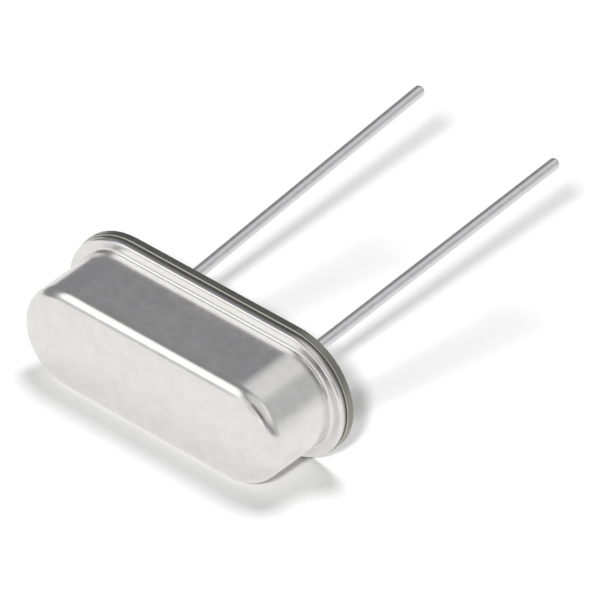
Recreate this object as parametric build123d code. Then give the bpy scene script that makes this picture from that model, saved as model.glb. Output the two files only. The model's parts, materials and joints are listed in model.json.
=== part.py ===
from build123d import *
import math
import os

# A quartz crystal unit in a low-profile welded metal can with two round wire leads.
# Millimetres. The crystal is built standing: X runs along the can, Y across it and Z up to
# the can's top, with the underside of the base at z = 0 and the leads going down.
# It is laid on its long side at the end, as it comes to rest on a table, and that is the
# frame of the written pieces: +Z up from the table, +Y the way the leads point.

# Can
CAN_LENGTH = 10.20          # over the foot of the wall
CAN_WIDTH = 3.72
CAN_HEIGHT = 3.36           # from the underside of the base to the can's top
CAN_DRAFT = 0.6             # degrees that the drawn wall leans in towards the top
SHEET = 0.25
TOP_EDGE_RADIUS = 0.50
FOOT_BEND_RADIUS = 0.11     # hollow bend from the wall into the lip
LIP_LEDGE = 0.18            # flat left between that bend and the lip's rounded edge
LIP_EDGE_RADIUS = 0.09
LIP_THICKNESS = 0.28

# Base plate
FLANGE_STEP = 0.05          # how far the plate stands out past the can's lip
FLANGE_THICKNESS = 0.28
FLANGE_EDGE_RADIUS = 0.05
PLATFORM_RISE = 0.42        # raised middle of the plate, inside the can
PLATFORM_CLEARANCE = 0.06
PLATFORM_EDGE_RADIUS = 0.10

# Glass seals
BEAD_DIAMETER = 1.30
BEAD_RECESS = 0.03          # edge of the glass below the metal round it
BEAD_DIP = 0.08             # further hollow of the glass between metal and wire

# Leads
LEAD_PITCH = 5.08
LEAD_DIAMETER = 0.40
LEAD_LENGTH_LEFT = 14.12    # from the base's underside to the tip, along the wire
LEAD_LENGTH_RIGHT = 14.25
LEAD_TIP_RADIUS = 0.15
LEAD_STRAIGHT = 2.1         # straight out of the base, before the slight set in the wire
LEAD_SET_RADIUS = 12.0
LEAD_SET_LEFT = (-2.60, 2.05)    # degrees towards +X and towards +Y, past the straight
LEAD_SET_RIGHT = (-1.00, 1.00)
HEAD_DIAMETER = 0.80        # flattened head of the wire, inside the can
HEAD_THICKNESS = 0.15
HEAD_STANDOFF = 0.20        # gap between the platform and the head

# Quartz blank
BLANK_END_GAP = 0.80        # from the can's inner end to the blank's end
BLANK_WIDTH = 1.60
BLANK_THICKNESS = 0.14
BLANK_BEVEL = 0.04
BLANK_RAISE = 0.45          # underside of the blank above the clips' feet

# Spring clips
STRIP = 0.10
CLIP_HEEL = 0.50            # from the lead's axis to the foot's free end
CLIP_WAIST = 0.30           # from the upright to where the foot narrows
CLIP_FOOT_WIDTH = 1.20
CLIP_UPRIGHT_WIDTH = 2.10
CLIP_UPRIGHT_HEIGHT = 1.00
CLIP_BEND_RADIUS = 0.12     # inside of the bend
CLIP_OVERHANG = 0.15        # end of the blank past the upright
SLOT_CLEARANCE = 0.04       # round the blank in the upright's slot

# Electrodes and adhesive
FILM = 0.02                 # electrode film, drawn thicker than it is
ELECTRODE_LENGTH = 4.20
ELECTRODE_WIDTH = 1.20
TAB_WIDTH = 0.80
DOT_RADIUS = 0.36
DOT_HEIGHT = 0.16
DOT_OFFSET = 0.22           # centre of the dot from the upright

# Sizes and levels that follow
LIP_REACH = FOOT_BEND_RADIUS + LIP_LEDGE + LIP_EDGE_RADIUS
LIP_TOP = FLANGE_THICKNESS + LIP_THICKNESS
FLANGE_REACH = LIP_REACH + FLANGE_STEP
PLATFORM_TOP = FLANGE_THICKNESS + PLATFORM_RISE
LEAD_X = LEAD_PITCH / 2
HEAD_TOP = PLATFORM_TOP + HEAD_STANDOFF + HEAD_THICKNESS
FOOT_TOP = HEAD_TOP + STRIP
BLANK_MIDDLE = FOOT_TOP + BLANK_RAISE + BLANK_THICKNESS / 2
BLANK_END = CAN_LENGTH / 2 - SHEET - BLANK_END_GAP
UPRIGHT_X = BLANK_END - CLIP_OVERHANG - STRIP


def stadium_prism(reach, bottom, top, draft=0.0):
    """Stadium block, reach wider all round than the can's foot, leaning in by draft degrees."""
    outline = SlotOverall(CAN_LENGTH + 2 * reach, CAN_WIDTH + 2 * reach)
    return Pos(0, 0, bottom) * extrude(outline, top - bottom, taper=draft)


def flared(upright, plate, level, radius):
    """An upright block on a wider plate, with a hollow bend where they meet at the given level."""
    joined = upright + plate
    ledge = joined.faces().filter_by(Axis.Z).filter_by_position(Axis.Z, level, level)[0]
    return joined.fillet(radius, ledge.inner_wires()[0].edges())


def top_edges(shape):
    return shape.edges().group_by(Axis.Z)[-1]


def make_can():
    wall = stadium_prism(0, FLANGE_THICKNESS, CAN_HEIGHT, CAN_DRAFT)
    wall = fillet(top_edges(wall), TOP_EDGE_RADIUS)
    lip = stadium_prism(LIP_REACH, FLANGE_THICKNESS, LIP_TOP)
    lip = fillet(top_edges(lip), LIP_EDGE_RADIUS)
    outside = flared(wall, lip, LIP_TOP, FOOT_BEND_RADIUS)

    hollow = stadium_prism(-SHEET, FLANGE_THICKNESS, CAN_HEIGHT - SHEET, CAN_DRAFT)
    hollow = fillet(top_edges(hollow), TOP_EDGE_RADIUS - SHEET)
    mouth = stadium_prism(LIP_REACH, 0, FLANGE_THICKNESS)
    return outside - flared(hollow, mouth, FLANGE_THICKNESS, FOOT_BEND_RADIUS + SHEET)


def make_base():
    flange = stadium_prism(FLANGE_REACH, 0, FLANGE_THICKNESS)
    flange = fillet(flange.edges().filter_by(Axis.Z, reverse=True), FLANGE_EDGE_RADIUS)
    platform = stadium_prism(-SHEET - PLATFORM_CLEARANCE, 0, PLATFORM_TOP)
    platform = fillet(top_edges(platform), PLATFORM_EDGE_RADIUS)
    plate = flange + platform
    for side in (-1, 1):
        plate -= Pos(side * LEAD_X, 0, 0) * Cylinder(BEAD_DIAMETER / 2, 3 * PLATFORM_TOP)
    return plate


def make_bead(side):
    """Glass ring fused to the plate's hole and to the wire, hollow on both faces."""
    inner = LEAD_DIAMETER / 2
    outer = BEAD_DIAMETER / 2
    middle = (inner + outer) / 2
    low = BEAD_RECESS
    high = PLATFORM_TOP - BEAD_RECESS
    outline = Line((inner, low), (inner, high))
    outline += ThreePointArc((inner, high), (middle, high - BEAD_DIP), (outer, high))
    outline += Line((outer, high), (outer, low))
    outline += ThreePointArc((outer, low), (middle, low + BEAD_DIP), (inner, low))
    ring = revolve(Plane.XZ * make_face(outline), Axis.Z)
    return Pos(side * LEAD_X, 0, 0) * ring


def make_lead(side, length, wire_set):
    """Round wire with a flattened head inside, straight through the base, then slightly set."""
    start = Vector(side * LEAD_X, 0, HEAD_TOP - HEAD_THICKNESS)
    corner = Vector(start.X, 0, -LEAD_STRAIGHT)
    slopes = [math.tan(math.radians(angle)) for angle in wire_set]
    heading = Vector(slopes[0], slopes[1], -1).normalized()
    tip = corner + heading * (length - LEAD_STRAIGHT)
    path = FilletPolyline(start, corner, tip, radius=LEAD_SET_RADIUS)
    section = Plane(start, z_dir=(0, 0, -1)) * Circle(LEAD_DIAMETER / 2)
    wire = sweep(section, path)
    wire = fillet(wire.edges().sort_by(Axis.Z)[0], LEAD_TIP_RADIUS)
    head = Cylinder(HEAD_DIAMETER / 2, HEAD_THICKNESS)
    return wire + Pos(start.X, 0, HEAD_TOP - HEAD_THICKNESS / 2) * head


def make_clip():
    """The right clip: a foot on the lead's head, and an upright with a slot for the blank."""
    heel = LEAD_X - CLIP_HEEL
    outer_x = UPRIGHT_X + STRIP
    upright_top = HEAD_TOP + CLIP_UPRIGHT_HEIGHT
    inner_bend = CLIP_BEND_RADIUS
    outer_bend = CLIP_BEND_RADIUS + STRIP
    outer_foot = (outer_x - outer_bend, HEAD_TOP)
    outer_side = (outer_x, HEAD_TOP + outer_bend)
    inner_foot = (UPRIGHT_X - inner_bend, FOOT_TOP)
    inner_side = (UPRIGHT_X, FOOT_TOP + inner_bend)
    outline = Polyline(inner_side, (UPRIGHT_X, upright_top), (outer_x, upright_top), outer_side)
    outline += RadiusArc(outer_side, outer_foot, outer_bend)
    outline += Polyline(outer_foot, (heel, HEAD_TOP), (heel, FOOT_TOP), inner_foot)
    outline += RadiusArc(inner_foot, inner_side, -inner_bend)
    clip = extrude(Plane.XZ * make_face(outline), CLIP_UPRIGHT_WIDTH / 2, both=True)

    narrow_length = UPRIGHT_X - CLIP_WAIST - heel
    narrow_depth = (CLIP_UPRIGHT_WIDTH - CLIP_FOOT_WIDTH) / 2
    waste = Box(narrow_length, narrow_depth, 3 * STRIP)
    for side in (-1, 1):
        waste_y = side * (CLIP_FOOT_WIDTH + narrow_depth) / 2
        clip -= Pos(heel + narrow_length / 2, waste_y, HEAD_TOP) * waste
    slot = Box(3 * STRIP, BLANK_WIDTH + 2 * SLOT_CLEARANCE, BLANK_THICKNESS + 2 * SLOT_CLEARANCE)
    return clip - Pos(UPRIGHT_X, 0, BLANK_MIDDLE) * slot


def make_blank():
    blank = Box(2 * BLANK_END, BLANK_WIDTH, BLANK_THICKNESS)
    return Pos(0, 0, BLANK_MIDDLE) * chamfer(blank.edges().filter_by(Axis.Y), BLANK_BEVEL)


def make_top_electrode():
    """Film on the blank's upper face, with a tab that runs to the left clip."""
    half_length = ELECTRODE_LENGTH / 2
    pad = Rectangle(ELECTRODE_LENGTH, ELECTRODE_WIDTH)
    tab_length = UPRIGHT_X - half_length
    pad += Pos(-half_length - tab_length / 2, 0) * Rectangle(tab_length, TAB_WIDTH)
    return Pos(0, 0, BLANK_MIDDLE + BLANK_THICKNESS / 2) * extrude(pad, FILM)


def make_top_dot():
    """Domed dot of adhesive on that tab, up against the left clip's upright."""
    foot = BLANK_MIDDLE + BLANK_THICKNESS / 2 + FILM
    ball_radius = (DOT_RADIUS ** 2 + DOT_HEIGHT ** 2) / (2 * DOT_HEIGHT)
    ball = Pos(DOT_OFFSET - UPRIGHT_X, 0, foot + DOT_HEIGHT - ball_radius) * Sphere(ball_radius)
    room = Box(2 * DOT_RADIUS, 2 * DOT_RADIUS, DOT_HEIGHT)
    return ball & Pos(DOT_RADIUS - UPRIGHT_X, 0, foot + DOT_HEIGHT / 2) * room


def turned_over(shape):
    """The same piece on the blank's other face and at its other end."""
    return Pos(0, 0, BLANK_MIDDLE) * Rot(0, 180, 0) * Pos(0, 0, -BLANK_MIDDLE) * shape


def rest_tilt():
    """Degrees by which the can's top end dips when it lies on the plate's rim and its top edge."""
    edge_z = CAN_HEIGHT - TOP_EDGE_RADIUS
    draft = math.radians(CAN_DRAFT)
    wall_y = CAN_WIDTH / 2 - (edge_z - FLANGE_THICKNESS) * math.tan(draft)
    edge_y = wall_y - TOP_EDGE_RADIUS / math.cos(draft)
    rim_z = FLANGE_THICKNESS - FLANGE_EDGE_RADIUS
    rim_y = CAN_WIDTH / 2 + FLANGE_REACH - FLANGE_EDGE_RADIUS
    apart = math.hypot(rim_y - edge_y, edge_z - rim_z)
    slope = math.atan2(rim_y - edge_y, edge_z - rim_z)
    return math.degrees(slope - math.asin((TOP_EDGE_RADIUS - FLANGE_EDGE_RADIUS) / apart))


parts = {
    "can": make_can(),
    "base": make_base(),
    "glass_bead_left": make_bead(-1),
    "glass_bead_right": make_bead(1),
    "lead_left": make_lead(-1, LEAD_LENGTH_LEFT, LEAD_SET_LEFT),
    "lead_right": make_lead(1, LEAD_LENGTH_RIGHT, LEAD_SET_RIGHT),
    "clip_left": mirror(make_clip(), Plane.YZ),
    "clip_right": make_clip(),
    "quartz_blank": make_blank(),
    "electrode_top": make_top_electrode(),
    "electrode_bottom": turned_over(make_top_electrode()),
    "adhesive_left": make_top_dot(),
    "adhesive_right": turned_over(make_top_dot()),
}

lying = Rot(90 + rest_tilt(), 0, 0)
box = Compound([lying * piece for piece in parts.values()]).bounding_box()
place = Pos(-box.center().X, -box.center().Y, -box.min.Z) * lying
print(f"rest tilt {rest_tilt():.3f} degrees, size {box.size}")
print(f"base underside centre at {(place * Pos(0, 0, 0)).position}")

os.makedirs("parts", exist_ok=True)
for name, piece in parts.items():
    export_step(place * piece, f"parts/{name}.step")
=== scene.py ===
import json
import math

import bmesh
import bpy
from mathutils import Matrix, Vector


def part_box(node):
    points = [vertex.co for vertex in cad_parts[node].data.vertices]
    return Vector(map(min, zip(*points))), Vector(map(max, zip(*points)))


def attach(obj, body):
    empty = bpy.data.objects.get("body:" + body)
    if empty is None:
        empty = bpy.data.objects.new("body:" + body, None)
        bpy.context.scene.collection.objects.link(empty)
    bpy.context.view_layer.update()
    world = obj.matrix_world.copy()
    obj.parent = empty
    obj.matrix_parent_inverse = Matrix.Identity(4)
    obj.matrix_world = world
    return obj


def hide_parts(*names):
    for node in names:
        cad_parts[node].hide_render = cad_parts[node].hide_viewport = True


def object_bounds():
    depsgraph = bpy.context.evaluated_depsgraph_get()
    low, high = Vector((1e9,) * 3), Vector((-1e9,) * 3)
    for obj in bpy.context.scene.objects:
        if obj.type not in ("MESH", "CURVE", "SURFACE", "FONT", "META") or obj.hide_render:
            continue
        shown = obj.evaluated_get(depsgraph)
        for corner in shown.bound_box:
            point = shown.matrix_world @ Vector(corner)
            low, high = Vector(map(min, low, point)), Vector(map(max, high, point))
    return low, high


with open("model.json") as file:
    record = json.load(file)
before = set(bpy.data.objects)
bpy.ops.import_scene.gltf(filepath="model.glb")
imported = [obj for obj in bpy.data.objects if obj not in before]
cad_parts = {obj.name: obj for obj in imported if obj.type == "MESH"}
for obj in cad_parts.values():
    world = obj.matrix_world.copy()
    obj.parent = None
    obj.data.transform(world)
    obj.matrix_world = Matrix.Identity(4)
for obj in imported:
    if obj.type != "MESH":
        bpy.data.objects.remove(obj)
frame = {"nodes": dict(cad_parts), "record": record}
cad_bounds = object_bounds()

# A quartz crystal unit in a low welded metal can, lying on its long side.
# Its pieces are drawn in the crystal's own axes, in millimetres: X along the can, Y across it
# and Z up to the can's top, from the middle of the base's underside. The mount on that face
# says where those axes lie in the frame, and each mesh is then put there, in metres.

MM = 0.001

# Can, the same sizes as the CAD part
CAN_WIDTH = 3.72
CAN_HEIGHT = 3.36
CAN_DRAFT = math.radians(0.6)
SHEET = 0.25
TOP_EDGE_RADIUS = 0.50
FOOT_BEND_RADIUS = 0.11
LIP_LEDGE = 0.18
LIP_EDGE_RADIUS = 0.09
LIP_THICKNESS = 0.28
LIP_CREASE = 0.03           # rounding of the lip's lower corner, which leaves a crease on the plate
LIP_UNDERCUT = 0.01         # how far that corner lies inside the lip's edge
FLANGE_THICKNESS = 0.28     # of the base, whose top carries the lip

# Leads and glass
LEAD_TIP_RADIUS = 0.15
LEAD_SET_RADIUS = 12.0      # of the slight bend that sets each lead aside
HEAD_RADIUS = 0.40
HEAD_THICKNESS = 0.15
HEAD_CHAMFER = 0.03
HEAD_FILLET = 0.02
PLATFORM_TOP = 0.70         # of the base's raised middle
HEAD_STANDOFF = 0.20
BEAD_RADIUS = 0.65
BEAD_RECESS = 0.03          # below the metal at each end
BEAD_DIP = 0.08             # depth of the hollow in each end


# ---------------------------------------------------------------- frame

mounts = {mount["name"]: mount for mount in frame["record"]["mounts"]}


def crystal_axes():
    """The crystal's own axes in the frame, from the base's underside."""
    seat = mounts["seating_face"]
    up = -Vector(seat["axis"]).normalized()
    along = Vector((1, 0, 0))
    across = up.cross(along)
    axes = Matrix((along, across, up)).transposed().to_4x4()
    axes.translation = Vector(seat["pos_m"])
    return axes


CRYSTAL = crystal_axes() @ Matrix.Scale(MM, 4)      # crystal millimetres to the frame's metres
TO_CRYSTAL = CRYSTAL.inverted()
can_low, can_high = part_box("can")
LIP_REACH = FOOT_BEND_RADIUS + LIP_LEDGE + LIP_EDGE_RADIUS
HALF_LENGTH = (can_high.x - can_low.x) / MM / 2
SPINE = HALF_LENGTH - LIP_REACH - CAN_WIDTH / 2     # from the middle to a round end's centre


# ---------------------------------------------------------------- mesh helpers

MERGE_DISTANCE = 1e-5
SHORTEST_EDGE = 1e-6


def arc(centre, radius, start, stop, steps):
    """Points of an arc in the section plane; angles in degrees, from outwards towards the top."""
    points = []
    for step in range(steps + 1):
        angle = math.radians(start + (stop - start) * step / steps)
        points.append((centre[0] + radius * math.cos(angle), centre[1] + radius * math.sin(angle)))
    return points


def run(start, stop, steps, close=0.01):
    """Points of a straight run between two arcs, without its ends, with a close one at each end."""
    length = math.dist(start, stop)
    shares = [close / length] + [step / steps for step in range(1, steps)] + [1 - close / length]
    return [tuple(a + (b - a) * share for a, b in zip(start, stop)) for share in shares]


def make_piece(mesh, material, node):
    """Put a mesh drawn in crystal millimetres into the frame, in place of a CAD node."""
    mesh.materials.append(material)
    for face in mesh.polygons:
        face.use_smooth = True
    mesh.transform(CRYSTAL)
    piece = bpy.data.objects.new(mesh.name, mesh)
    bpy.context.collection.objects.link(piece)
    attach(piece, "root")
    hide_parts(node)


def grid_mesh(name, rings, closed_profile=False):
    """Mesh from rings of points joined in order, the last to the first if the profile is closed."""
    made = bmesh.new()
    rows = [[made.verts.new(point) for point in ring] for ring in rings]
    count = len(rows[0])
    pairs = list(zip(rows, rows[1:]))
    if closed_profile:
        pairs.append((rows[-1], rows[0]))
    for low, high in pairs:
        for i in range(count):
            j = (i + 1) % count
            made.faces.new((low[i], low[j], high[j], high[i]))
    bmesh.ops.remove_doubles(made, verts=made.verts, dist=MERGE_DISTANCE)
    bmesh.ops.dissolve_degenerate(made, edges=made.edges, dist=SHORTEST_EDGE)
    bmesh.ops.recalc_face_normals(made, faces=made.faces)
    mesh = bpy.data.meshes.new(name)
    made.to_mesh(mesh)
    made.free()
    return mesh


def ring_of_points(centre, first, second, radius, around):
    """Circle of points about a centre, in the plane of two unit vectors."""
    turns = [2 * math.pi * step / around for step in range(around)]
    return [centre + first * radius * math.cos(turn) + second * radius * math.sin(turn)
            for turn in turns]


def stadium_stops(spine, arc_steps=64, side_steps=24):
    """Round a stadium from the middle of its -Y side: place on the spine and outward angle."""
    stops = [(spine * step / side_steps, -90.0) for step in range(side_steps)]
    stops += [(spine, -90 + 180 * step / arc_steps) for step in range(arc_steps)]
    stops += [(spine - spine * step / side_steps, 90.0) for step in range(2 * side_steps)]
    stops += [(-spine, 90 + 180 * step / arc_steps) for step in range(arc_steps)]
    stops += [(-spine + spine * step / side_steps, 270.0) for step in range(side_steps)]
    return [(centre, math.radians(angle)) for centre, angle in stops]


def swept_stadium(name, profile, spine):
    """Mesh of a profile of (distance from the spine, height) swept round a stadium."""
    stops = stadium_stops(spine)
    rings = []
    for reach, height in profile:
        rings.append([(centre + reach * math.cos(angle), reach * math.sin(angle), height)
                      for centre, angle in stops])
    return grid_mesh(name, rings)


# ---------------------------------------------------------------- can

def wall_reach(height, inset=0.0):
    """Distance from the spine to the wall's face at a height, less an inset."""
    return CAN_WIDTH / 2 - inset - (height - FLANGE_THICKNESS) * math.tan(CAN_DRAFT)


def can_profile():
    """Section of the can: from its top's middle down outside, under the lip and up inside."""
    lean = math.degrees(CAN_DRAFT)
    lip_top = FLANGE_THICKNESS + LIP_THICKNESS
    top_z = CAN_HEIGHT - TOP_EDGE_RADIUS
    top_centre = (wall_reach(top_z) - TOP_EDGE_RADIUS / math.cos(CAN_DRAFT), top_z)
    top_edge = arc(top_centre, TOP_EDGE_RADIUS, 90, lean, 28)
    foot_z = lip_top + FOOT_BEND_RADIUS
    foot_centre = (wall_reach(foot_z) + FOOT_BEND_RADIUS / math.cos(CAN_DRAFT), foot_z)
    foot = arc(foot_centre, FOOT_BEND_RADIUS, 180 + lean, 270, 16)
    lip_reach = CAN_WIDTH / 2 + LIP_REACH
    lip = arc((lip_reach - LIP_EDGE_RADIUS, lip_top - LIP_EDGE_RADIUS), LIP_EDGE_RADIUS, 90, 0, 18)
    crease_reach = lip_reach - LIP_UNDERCUT
    crease = arc((crease_reach - LIP_CREASE, FLANGE_THICKNESS + LIP_CREASE), LIP_CREASE, 0, -90, 6)

    flare_radius = FOOT_BEND_RADIUS + SHEET
    flare_z = FLANGE_THICKNESS + flare_radius
    flare_centre = (wall_reach(flare_z, SHEET) + flare_radius / math.cos(CAN_DRAFT), flare_z)
    flare = arc(flare_centre, flare_radius, 270, 180 + lean, 10)
    inner_radius = TOP_EDGE_RADIUS - SHEET
    inner_z = CAN_HEIGHT - SHEET - inner_radius
    inner_centre = (wall_reach(inner_z, SHEET) - inner_radius / math.cos(CAN_DRAFT), inner_z)
    inner_edge = arc(inner_centre, inner_radius, lean, 90, 8)

    profile = [(0.0, CAN_HEIGHT)] + run((0.0, CAN_HEIGHT), top_edge[0], 10)
    profile += top_edge + run(top_edge[-1], foot[0], 16)
    profile += foot + run(foot[-1], lip[0], 4)
    profile += lip + run(lip[-1], crease[0], 3, 0.005)
    profile += crease + flare + inner_edge + [(0.0, CAN_HEIGHT - SHEET)]
    return profile


# ---------------------------------------------------------------- leads and glass

STRAIGHT_STEPS = 6
SET_STEPS = 8
FREE_STEPS = 24


def lead_path(mount):
    """Centre line of a lead, from its head to where its tip is rounded, and its heading."""
    middle = TO_CRYSTAL @ Vector(mount["pos_m"])
    away = (TO_CRYSTAL.to_3x3() @ Vector(mount["axis"])).normalized()
    if away.z > 0:
        away = -away
    down = Vector((0, 0, -1))
    corner = middle - away * (middle.y / away.y)
    tangent = LEAD_SET_RADIUS * math.tan(down.angle(away) / 2)
    start = Vector((corner.x, corner.y, PLATFORM_TOP + HEAD_STANDOFF))
    bend_start = corner - down * tangent
    bend_stop = corner + away * tangent
    free_stop = middle + away * (mount["dims"]["length_mm"] / 2)
    points = [start.lerp(bend_start, step / STRAIGHT_STEPS) for step in range(STRAIGHT_STEPS)]
    for step in range(SET_STEPS + 1):
        share = step / SET_STEPS
        points.append(bend_start.lerp(corner, share).lerp(corner.lerp(bend_stop, share), share))
    points += [bend_stop.lerp(free_stop, step / FREE_STEPS) for step in range(1, FREE_STEPS + 1)]
    return points, away


def lead_mesh(name, mount, around=40):
    """Round wire with a flat head at one end and a rounded tip at the other."""
    radius = mount["dims"]["r_mm"]
    points, away = lead_path(mount)
    down = Vector((0, 0, -1))
    head_foot = points[0]
    head_top = head_foot - down * HEAD_THICKNESS
    tip = points[-1]
    sections = [        # centre, heading, radius
        (head_top, down, 0.0),
        (head_top, down, HEAD_RADIUS - HEAD_CHAMFER),
        (head_top + down * HEAD_CHAMFER, down, HEAD_RADIUS),
        (head_foot - down * HEAD_CHAMFER, down, HEAD_RADIUS),
        (head_foot, down, HEAD_RADIUS - HEAD_CHAMFER),
        (head_foot, down, radius + HEAD_FILLET),
    ]
    for here, after in zip(points, points[1:] + [tip + away]):
        sections.append((here, (after - here).normalized(), radius))
    for reach, drop in arc((radius - LEAD_TIP_RADIUS, 0), LEAD_TIP_RADIUS, 0, 90, 8)[1:]:
        sections.append((tip + away * drop, away, reach))
    sections.append((tip + away * LEAD_TIP_RADIUS, away, 0.0))

    rings = []
    for centre, heading, reach in sections:
        first = heading.cross(Vector((0, 1, 0))).normalized()
        rings.append(ring_of_points(centre, first, heading.cross(first), reach, around))
    return grid_mesh(name, rings)


def bead_mesh(name, centre_x, wire_radius, around=48):
    """Fused glass ring with a hollow face at each end."""
    low, high = BEAD_RECESS, PLATFORM_TOP - BEAD_RECESS
    width = BEAD_RADIUS - wire_radius
    sag_radius = ((width / 2) ** 2 + BEAD_DIP ** 2) / (2 * BEAD_DIP)
    half = math.degrees(math.asin(width / 2 / sag_radius))
    middle = (BEAD_RADIUS + wire_radius) / 2
    upper = arc((middle, high - BEAD_DIP + sag_radius), sag_radius, 270 - half, 270 + half, 12)
    lower = arc((middle, low + BEAD_DIP - sag_radius), sag_radius, 90 - half, 90 + half, 12)
    rings = []
    for reach, height in upper + lower:
        centre = Vector((centre_x, 0, height))
        rings.append(ring_of_points(centre, Vector((1, 0, 0)), Vector((0, 1, 0)), reach, around))
    return grid_mesh(name, rings, closed_profile=True)


# ---------------------------------------------------------------- materials

NOISE_ROUGHNESS = 0.55
UPRIGHT, LEVEL = 0.35, 0.85     # how far a surface faces along Z when it counts as each


class NodeTree:
    """Short calls for building one tree of shader nodes."""

    def __init__(self, tree):
        self.tree = tree

    def new(self, kind, **settings):
        node = self.tree.nodes.new(kind)
        for key, value in settings.items():
            setattr(node, key, value)
        return node

    def link(self, source, target):
        self.tree.links.new(source, target)

    def maths(self, operation, first, second):
        node = self.new("ShaderNodeMath", operation=operation)
        for socket, value in zip(node.inputs, (first, second)):
            if isinstance(value, (int, float)):
                socket.default_value = value
            else:
                self.link(value, socket)
        return node.outputs["Value"]

    def spread(self, value, low, high, source_low=0.3, source_high=0.7, ease="LINEAR"):
        """low up to the value source_low, high from source_high."""
        node = self.new("ShaderNodeMapRange", interpolation_type=ease)
        node.inputs["From Min"].default_value = source_low
        node.inputs["From Max"].default_value = source_high
        node.inputs["To Min"].default_value = low
        node.inputs["To Max"].default_value = high
        self.link(value, node.inputs["Value"])
        return node.outputs["Result"]

    def along(self, vector, towards):
        """Dot product of a vector with a fixed unit vector."""
        node = self.new("ShaderNodeVectorMath", operation="DOT_PRODUCT")
        self.link(vector, node.inputs[0])
        node.inputs[1].default_value = towards
        return node.outputs["Value"]

    def blend(self, factor, first, second):
        """First colour where the factor is 0, second where it is 1."""
        node = self.new("ShaderNodeMix", data_type="RGBA")
        self.link(factor, node.inputs["Factor"])
        for socket, value in (("A", first), ("B", second)):
            if isinstance(value, tuple):
                node.inputs[socket].default_value = (*value, 1)
            else:
                self.link(value, node.inputs[socket])
        return node.outputs["Result"]


class Finish(NodeTree):
    """Nodes of one material, with its place on the part in crystal millimetres."""

    def __init__(self, name):
        self.material = bpy.data.materials.new(name)
        self.material.use_nodes = True
        super().__init__(self.material.node_tree)
        self.shader = self.tree.nodes["Principled BSDF"]
        coords = self.new("ShaderNodeTexCoord")
        mapping = self.new("ShaderNodeMapping")
        mapping.inputs["Location"].default_value = TO_CRYSTAL.to_translation()
        mapping.inputs["Rotation"].default_value = TO_CRYSTAL.to_euler()
        mapping.inputs["Scale"].default_value = TO_CRYSTAL.to_scale()
        self.link(coords.outputs["Object"], mapping.inputs["Vector"])
        self.place = mapping.outputs["Vector"]

    def stretched(self, scale):
        """The place, scaled on each axis of the crystal."""
        mapping = self.new("ShaderNodeMapping")
        mapping.inputs["Scale"].default_value = scale
        self.link(self.place, mapping.inputs["Vector"])
        return mapping.outputs["Vector"]

    def noise(self, scale, detail, vector=None):
        node = self.new("ShaderNodeTexNoise")
        node.inputs["Scale"].default_value = scale
        node.inputs["Detail"].default_value = detail
        node.inputs["Roughness"].default_value = NOISE_ROUGHNESS
        self.link(vector or self.place, node.inputs["Vector"])
        return node.outputs["Fac"]

    def ramp(self, value, low_stop, high_stop):
        """From one colour to another, each stop a value and its colour."""
        node = self.new("ShaderNodeValToRGB")
        for element, (place, colour) in zip(node.color_ramp.elements, (low_stop, high_stop)):
            element.position = place
            element.color = (*colour, 1)
        self.link(value, node.inputs["Fac"])
        return node.outputs["Color"]

    def upright(self):
        """1 where the surface stands along the crystal's Z, 0 where it faces up or down it."""
        normal = self.new("ShaderNodeNewGeometry").outputs["Normal"]
        facing = self.along(normal, CRYSTAL.to_3x3().col[2].normalized())
        return self.spread(self.maths("ABSOLUTE", facing, 0.0), 1.0, 0.0, UPRIGHT, LEVEL)

    def level(self, low, high):
        """0 below one height on the crystal, 1 above another."""
        split = self.new("ShaderNodeSeparateXYZ")
        self.link(self.place, split.inputs["Vector"])
        return self.spread(split.outputs["Z"], 0.0, 1.0, low, high)

    def bump(self, height, strength, distance_mm, under=None):
        node = self.new("ShaderNodeBump")
        node.inputs["Strength"].default_value = strength
        node.inputs["Distance"].default_value = distance_mm * MM
        self.link(height, node.inputs["Height"])
        if under is not None:
            self.link(under, node.inputs["Normal"])
        return node.outputs["Normal"]

    def set(self, **values):
        """Give sockets of the shader a plain value or a node's output."""
        for key, value in values.items():
            socket = self.shader.inputs[key.replace("_", " ")]
            if isinstance(value, bpy.types.NodeSocket):
                self.link(value, socket)
            else:
                socket.default_value = value


# Painted shade: the lip's lowest band, in the crease just above the weld, is coloured dark where
# shade falls.
LIP_FOOT_PAINTED_SHADE = (0.22, 0.22, 0.19)
PAINTED_SHADE_FULL = 0.06            # painted shade full up to this height and gone at the next, above the weld between lip and base
PAINTED_SHADE_GONE = 0.20


def can_metal():
    """Drawn nickel-coloured sheet: faint mottle, draw lines up the wall, painted shade low on the
    lip by the weld.
    """
    n = Finish("can_metal")
    mottle = n.noise(2.2, 4.0)
    grain = n.noise(60.0, 2.0)
    lines = n.noise(1.0, 3.0, vector=n.stretched((26.0, 26.0, 0.7)))
    n.set(Metallic=1.0, Anisotropic=0.25)
    bright = n.ramp(mottle, (0.30, (0.765, 0.752, 0.730)), (0.70, (0.835, 0.824, 0.802)))
    # Painted shade at the lip's foot, fading out above the weld.
    above_painted_shade = n.level(FLANGE_THICKNESS + PAINTED_SHADE_FULL, FLANGE_THICKNESS + PAINTED_SHADE_GONE)
    n.set(Base_Color=n.blend(above_painted_shade, LIP_FOOT_PAINTED_SHADE, bright))
    uneven = n.maths("ADD", n.maths("MULTIPLY", mottle, 0.6), n.maths("MULTIPLY", lines, 0.4))
    n.set(Roughness=n.spread(uneven, 0.17, 0.27))
    normal = n.bump(lines, 0.10, 0.004)
    normal = n.bump(grain, 0.06, 0.002, normal)
    normal = n.bump(mottle, 0.25, 0.006, normal)
    n.set(Normal=normal)
    return n.material


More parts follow.
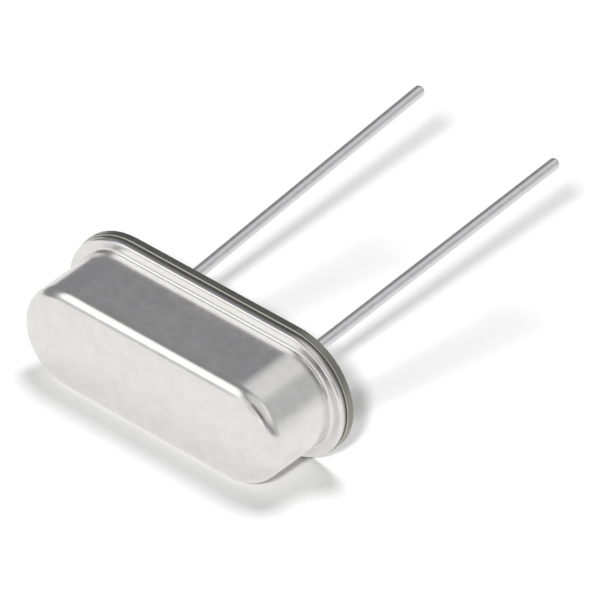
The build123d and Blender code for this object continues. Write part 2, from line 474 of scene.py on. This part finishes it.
def base_metal():
    """Stamped plate: dull, slightly olive plating with rolling lines, and painted shade on every
    face that stands sideways, its rim among them.
    """
    n = Finish("base_metal")
    mottle = n.noise(2.6, 4.0)
    lines = n.noise(1.0, 3.0, vector=n.stretched((0.6, 22.0, 9.0)))
    n.set(Metallic=1.0, Anisotropic=0.2)
    plate = n.ramp(mottle, (0.30, (0.50, 0.49, 0.445)), (0.70, (0.60, 0.59, 0.54)))
    # Painted shade: faces that stand sideways, the rim among them, are coloured dark.
    n.set(Base_Color=n.blend(n.upright(), plate, (0.27, 0.27, 0.235)))
    n.set(Roughness=n.spread(mottle, 0.26, 0.40))
    n.set(Normal=n.bump(mottle, 0.3, 0.004, n.bump(lines, 0.2, 0.003)))
    return n.material


def lead_metal():
    """Drawn and tinned wire: fine lines along it, slightly uneven tin."""
    n = Finish("lead_metal")
    lines = n.noise(1.0, 3.0, vector=n.stretched((30.0, 30.0, 0.8)))
    tin = n.noise(3.0, 4.0)
    n.set(Metallic=1.0, Anisotropic=0.3)
    n.set(Base_Color=n.ramp(tin, (0.30, (0.70, 0.695, 0.69)), (0.70, (0.79, 0.785, 0.78))))
    n.set(Roughness=n.spread(tin, 0.24, 0.38))
    n.set(Normal=n.bump(tin, 0.25, 0.006, n.bump(lines, 0.25, 0.003)))
    return n.material


def seal_glass():
    """Dark fused glass with a faint swirl."""
    n = Finish("seal_glass")
    swirl = n.noise(4.0, 3.0)
    n.set(Roughness=0.08, IOR=1.5)
    n.set(Base_Color=n.ramp(swirl, (0.30, (0.030, 0.050, 0.058)), (0.70, (0.070, 0.100, 0.110))))
    n.set(Normal=n.bump(swirl, 0.15, 0.01))
    return n.material


def inner_material(name, colour, metallic, roughness):
    """A piece sealed in the can: its colour with a fine, slightly lighter mottle."""
    n = Finish(name)
    mottle = n.noise(4.0, 3.0)
    light = tuple(part * 1.12 for part in colour)
    n.set(Metallic=metallic)
    n.set(Base_Color=n.ramp(mottle, (0.3, colour), (0.7, light)))
    n.set(Roughness=n.spread(mottle, roughness * 0.85, roughness * 1.15))
    n.set(Normal=n.bump(mottle, 0.1, 0.002))
    return n.material


# ---------------------------------------------------------------- camera, floor, light

AIM_FROM_CENTRE = Vector((1.5, -3.22, 1.12)) * MM
CAMERA_AZIMUTH = 33.11      # this and the next two in degrees
CAMERA_ELEVATION = 30.19
CAMERA_ROLL = 10.49
CAMERA_DISTANCE = 230.0 * MM
CAMERA_LENS = 446.7
CAMERA_NEAR = 0.01
CAMERA_FAR = 10.0


def direction(azimuth, elevation):
    """Unit vector; azimuth from the front (-Y) towards +X and elevation, in degrees."""
    a, e = math.radians(azimuth), math.radians(elevation)
    return Vector((math.sin(a) * math.cos(e), -math.cos(a) * math.cos(e), math.sin(e)))


def make_camera(centre):
    """Long lens aimed near the part's centre and rolled to its slant."""
    back = direction(CAMERA_AZIMUTH, CAMERA_ELEVATION)
    data = bpy.data.cameras.new("camera")
    data.lens = CAMERA_LENS
    data.clip_start = CAMERA_NEAR
    data.clip_end = CAMERA_FAR
    camera = bpy.data.objects.new("camera", data)
    bpy.context.collection.objects.link(camera)
    level = (-back).to_track_quat("-Z", "Y").to_matrix().to_4x4()
    place = Matrix.Translation(centre + AIM_FROM_CENTRE + back * CAMERA_DISTANCE)
    camera.matrix_world = place @ level @ Matrix.Rotation(math.radians(CAMERA_ROLL), 4, "Z")
    bpy.context.scene.camera = camera


FLOOR_HALF = 1.5        # metres
FLOOR_COLOUR = 0.90
FLOOR_WHITE = 0.95      # how bright the metal shows the floor
FLOOR_SEEN = 0.02       # share of that white for the camera
FLOOR_MIRRORED = 0.75   # and in the metal; the rest keeps the shadows


def floor_material():
    """Matt and pale, with its share of plain white for the camera and in the metal."""
    material = bpy.data.materials.new("floor_white")
    material.use_nodes = True
    n = NodeTree(material.node_tree)
    n.tree.nodes.remove(n.tree.nodes["Principled BSDF"])
    diffuse = n.new("ShaderNodeBsdfDiffuse")
    diffuse.inputs["Color"].default_value = (FLOOR_COLOUR, FLOOR_COLOUR, FLOOR_COLOUR, 1)
    white = n.new("ShaderNodeEmission")
    white.inputs["Strength"].default_value = FLOOR_WHITE
    path = n.new("ShaderNodeLightPath")
    seen = n.maths("MULTIPLY", path.outputs["Is Camera Ray"], FLOOR_SEEN)
    mirrored = n.maths("MULTIPLY", path.outputs["Is Glossy Ray"], FLOOR_MIRRORED)
    mix = n.new("ShaderNodeMixShader")
    n.link(n.maths("ADD", seen, mirrored), mix.inputs["Fac"])
    n.link(diffuse.outputs["BSDF"], mix.inputs[1])
    n.link(white.outputs["Emission"], mix.inputs[2])
    n.link(mix.outputs["Shader"], n.tree.nodes["Material Output"].inputs["Surface"])
    return material


def make_floor():
    corners = [(x * FLOOR_HALF, y * FLOOR_HALF, 0) for x, y in ((-1, -1), (1, -1), (1, 1), (-1, 1))]
    mesh = bpy.data.meshes.new("floor")
    mesh.from_pydata(corners, [], [(0, 1, 2, 3)])
    mesh.materials.append(floor_material())
    floor = bpy.data.objects.new("floor", mesh)
    bpy.context.collection.objects.link(floor)


SUNS = (        # name; azimuth, elevation and spread in degrees; share of the floor's brightness
    ("key", 25, 33, 5, 0.46),
    ("fill", -140, 76, 24, 0.53),
)


def make_sun(name, azimuth, elevation, spread, floor_share):
    """A lamp that lights matt surfaces and leaves its shadow; the metal doesn't show it."""
    data = bpy.data.lights.new(name, "SUN")
    data.energy = floor_share * math.pi / (FLOOR_COLOUR * math.sin(math.radians(elevation)))
    data.angle = math.radians(spread)
    lamp = bpy.data.objects.new(name, data)
    bpy.context.collection.objects.link(lamp)
    lamp.rotation_mode = "QUATERNION"
    lamp.rotation_quaternion = direction(azimuth, elevation).to_track_quat("Z", "Y")
    lamp.visible_glossy = False


STUDIO_GREY = (0.275, 0.28, 0.295)      # walls between the panels, as the metal shows them
STUDIO_LIGHT = 0.05                     # soft light from all round on matt surfaces
PANELS = (      # towards; full within and gone beyond, in degrees; strength
    ((-0.50, -0.60, 0.62), 16, 25, 1.05),
    ((-0.47, -0.85, 0.20), 12, 28, 0.35),
    ((0.14, -0.95, 0.22), 20, 36, 0.50),
    ((0.62, -0.78, 0.02), 13, 25, 0.50),
    ((0.55, -0.25, 0.80), 26, 40, 0.45),
    ((-0.02, 0.49, 0.87), 3, 26, 0.52),
    ((0.05, 0.80, 0.60), 10, 20, 0.40),
    ((0.75, 0.55, 0.37), 32, 50, 0.26),
    ((0.75, 0.66, 0.00), 4, 22, 0.35),
)
SHADES = (      # towards; full within and gone beyond, in degrees; what is left there
    ((0.36, -0.74, 0.57), 6, 16, 0.25),
    ((0.56, -0.71, 0.42), 6, 16, 0.25),
    ((0.70, -0.68, 0.22), 5, 15, 0.50),
    ((-0.15, 0.97, 0.15), 15, 35, 0.40),
)


class Room(NodeTree):
    """Nodes of the world, seen from the part."""

    def __init__(self, world):
        super().__init__(world.node_tree)
        self.heading = self.new("ShaderNodeTexCoord").outputs["Generated"]

    def round_patch(self, towards, full, gone, low, high):
        """high within full degrees of a direction, low beyond gone degrees."""
        nearness = self.along(self.heading, Vector(towards).normalized())
        edge = math.cos(math.radians(gone))
        core = math.cos(math.radians(full))
        return self.spread(nearness, low, high, edge, core, ease="SMOOTHSTEP")


def make_world():
    """Grey room with pale panels in the metal, plain low light on matt surfaces, white behind."""
    world = bpy.data.worlds.new("studio")
    bpy.context.scene.world = world
    world.use_nodes = True
    w = Room(world)
    panels = 0.0
    for towards, full, gone, strength in PANELS:
        panels = w.maths("ADD", panels, w.round_patch(towards, full, gone, 0.0, strength))
    shade = 1.0
    for towards, full, gone, left in SHADES:
        shade = w.maths("MULTIPLY", shade, w.round_patch(towards, full, gone, 1.0, left))
    lit = w.new("ShaderNodeVectorMath", operation="ADD")
    lit.inputs[0].default_value = STUDIO_GREY
    w.link(panels, lit.inputs[1])
    room = w.new("ShaderNodeVectorMath", operation="SCALE")
    w.link(lit.outputs["Vector"], room.inputs[0])
    w.link(shade, room.inputs["Scale"])

    path = w.new("ShaderNodeLightPath")
    matt_light = (STUDIO_LIGHT, STUDIO_LIGHT, STUDIO_LIGHT)
    around = w.blend(path.outputs["Is Glossy Ray"], matt_light, room.outputs["Vector"])
    background = w.blend(path.outputs["Is Camera Ray"], around, (1, 1, 1))
    w.link(background, w.tree.nodes["Background"].inputs["Color"])


# ---------------------------------------------------------------- put together

make_piece(swept_stadium("can_shell", can_profile(), SPINE), can_metal(), "can")
wire = lead_metal()
glass = seal_glass()
for side in ("left", "right"):
    mount = mounts[f"lead_{side}"]
    make_piece(lead_mesh(f"wire_{side}", mount), wire, f"lead_{side}")
    bead_low, bead_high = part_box(f"glass_bead_{side}")
    bead_x = (bead_low.x + bead_high.x) / 2 / MM
    bead = bead_mesh(f"seal_{side}", bead_x, mount["dims"]["r_mm"])
    make_piece(bead, glass, f"glass_bead_{side}")

clip = inner_material("clip_metal", (0.62, 0.60, 0.56), metallic=1.0, roughness=0.3)
quartz = inner_material("quartz", (0.82, 0.85, 0.86), metallic=0.0, roughness=0.25)
film = inner_material("electrode_film", (0.80, 0.80, 0.79), metallic=1.0, roughness=0.25)
glue = inner_material("adhesive", (0.42, 0.40, 0.37), metallic=0.3, roughness=0.55)
for material, nodes in (
    (base_metal(), ["base"]),
    (clip, ["clip_left", "clip_right"]),
    (quartz, ["quartz_blank"]),
    (film, ["electrode_top", "electrode_bottom"]),
    (glue, ["adhesive_left", "adhesive_right"]),
):
    for node in nodes:
        carried_over = frame["nodes"][node].data.materials
        carried_over.clear()
        carried_over.append(material)

make_camera((cad_bounds[0] + cad_bounds[1]) / 2)
make_floor()
make_world()
for sun in SUNS:
    make_sun(*sun)

scene = bpy.context.scene
scene.view_settings.view_transform = "Standard"
